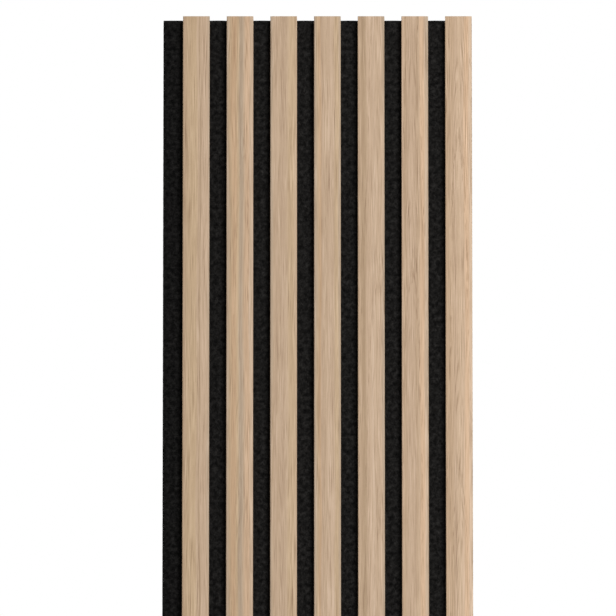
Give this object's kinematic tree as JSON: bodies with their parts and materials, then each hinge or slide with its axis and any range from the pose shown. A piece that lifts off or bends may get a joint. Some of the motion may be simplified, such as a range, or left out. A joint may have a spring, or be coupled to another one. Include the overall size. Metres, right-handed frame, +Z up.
{
  "type": "acoustic slat wall panel",
  "caption": "Long flat wall panel of pale oak-look slats stapled side by side onto a dark felt board, with a bare felt strip along one edge, fixed to a wall to soften sound.",
  "frame": {"origin": "centre of the felt board's back face, the face that lies against the wall", "axes": "+Z up along the slats, +Y out of the back into the wall, so the slats face -Y; +X to the right as seen from the room"},
  "size_m": [0.3, 0.021, 2.4],
  "materials": {
    "oak_slat": "matt, wood-look wrap with fine straight grain",
    "felt": "needled charcoal-black felt, slightly fuzzy",
    "staple_wire": "galvanised wire"
  },
  "bodies": {
    "root": {"felt_backing": "felt", "slat_1": "oak_slat", "slat_2": "oak_slat", "slat_3": "oak_slat", "slat_4": "oak_slat", "slat_5": "oak_slat", "slat_6": "oak_slat", "slat_7": "oak_slat", "staples": "staple_wire"}
  },
  "joints": []
}
